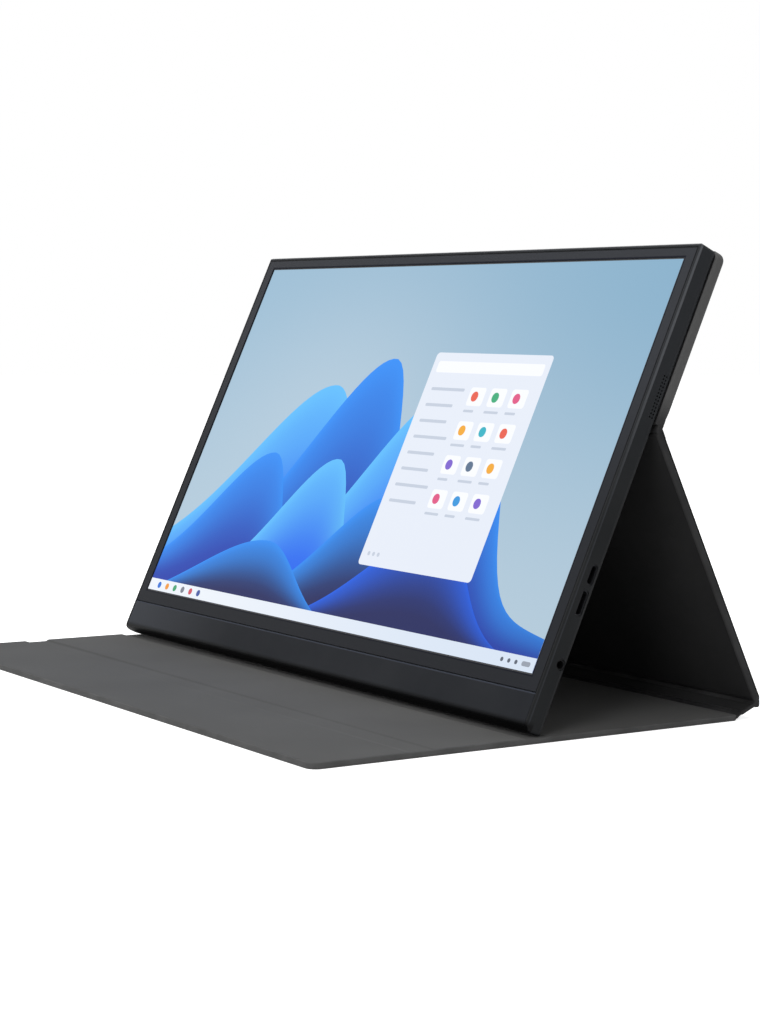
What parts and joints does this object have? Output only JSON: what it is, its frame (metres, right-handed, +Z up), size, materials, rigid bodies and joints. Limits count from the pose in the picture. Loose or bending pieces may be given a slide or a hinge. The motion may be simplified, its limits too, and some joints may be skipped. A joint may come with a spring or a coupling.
{
  "type": "portable monitor with cover",
  "caption": "Slim portable monitor leaning back on its folded magnetic cover, whose lid lies flat in front and under it.",
  "frame": {"origin": "middle of the footprint, on the table under the cover's lid", "axes": "+X to the right along the screen, -Y towards the viewer, +Z up"},
  "size_m": [0.3632, 0.24, 0.2116],
  "materials": {
    "cover_leather": "fine-grained dark grey leatherette",
    "cover_board": "pressed board",
    "lid_lining": "smooth matt microfibre, mid grey",
    "back_lining": "smooth matt microfibre, near black",
    "magnet": "nickel plate",
    "housing": "fine matt texture, charcoal",
    "bezel": "satin, dark slate grey",
    "chin": "satin, dark slate grey",
    "screen": "anti-glare film over a lit display",
    "cell_glass": "thin display glass",
    "optical_film": "milky film",
    "light_guide": "clear acrylic",
    "reflector": "white film",
    "led": "white package with yellow phosphor",
    "tray": "plain sheet",
    "circuit_board": "green solder mask",
    "flex_film": "amber film",
    "chip": "black package",
    "shield": "tinned sheet",
    "screw": "plain",
    "ribbon": "white film",
    "port_metal": "drawn shell",
    "jack_plastic": "black moulding",
    "speaker_box": "black moulding",
    "switch_metal": "plain",
    "button": "fine matt texture, charcoal",
    "plate": "plain sheet"
  },
  "bodies": {
    "lid": {"lid_skin": "cover_leather", "lid_board": "cover_board", "lid_lining": "lid_lining", "lid_fold_web": "cover_leather"},
    "spine": {"spine_skin": "cover_leather", "spine_stiffener": "cover_board", "spine_lining": "back_lining", "foot_fold_web": "cover_leather"},
    "leg": {"leg_skin": "cover_leather", "leg_board": "cover_board", "leg_lining": "back_lining", "back_fold_web": "cover_leather"},
    "monitor": {"upper_skin": "cover_leather", "upper_board": "cover_board", "upper_lining": "back_lining", "cover_magnets": "magnet", "rear_housing": "housing", "front_bezel": "bezel", "chin_panel": "chin", "screen_film": "screen", "lcd_cell": "cell_glass", "optical_films": "optical_film", "light_guide": "light_guide", "reflector_sheet": "reflector", "led_strip": "led", "backlight_tray": "tray", "driver_board": "circuit_board", "panel_flex": "flex_film", "main_board": "circuit_board", "board_chips": "chip", "shield_can": "shield", "board_screws": "screw", "main_ribbon": "ribbon", "usb_c_port": "port_metal", "mini_hdmi_port": "port_metal", "headphone_jack": "jack_plastic", "right_speaker": "speaker_box", "left_speaker": "speaker_box", "button_board": "circuit_board", "side_switches": "switch_metal", "button_ribbon": "ribbon", "rocker_pin": "screw", "holding_plates": "plate"},
    "power_button": {"power_button": "button"},
    "menu_rocker": {"menu_rocker": "button"}
  },
  "joints": [
    {"name": "lid_fold", "type": "hinge", "parent": "lid", "child": "spine", "pos_m": [0, 0.10683, 0.0027], "axis": [1, 0, 0], "range_deg": [-90, 0]},
    {"name": "foot_fold", "type": "hinge", "parent": "spine", "child": "leg", "pos_m": [0, 0.11796, 0.0072], "axis": [1, 0, 0], "range_deg": [-22, 14]},
    {"name": "back_fold", "type": "hinge", "parent": "leg", "child": "monitor", "pos_m": [0, 0.05501, 0.13124], "axis": [1, 0, 0], "range_deg": [-28.4, 44.6]},
    {"name": "power_press", "type": "slide", "parent": "monitor", "child": "power_button", "axis": [1, 0, 0], "range_m": [0, 0.00035], "stiffness_N_per_m": 3000},
    {"name": "menu_rock", "type": "hinge", "parent": "monitor", "child": "menu_rocker", "pos_m": [-0.1779, 0.01351, 0.0534], "axis": [0, 0.9124, -0.4093], "range_deg": [-3, 3], "stiffness_Nm_per_rad": 0.2}
  ],
  "couplings": [
    {"joint": "back_fold", "follows": "foot_fold", "ratio": -2.02}
  ]
}
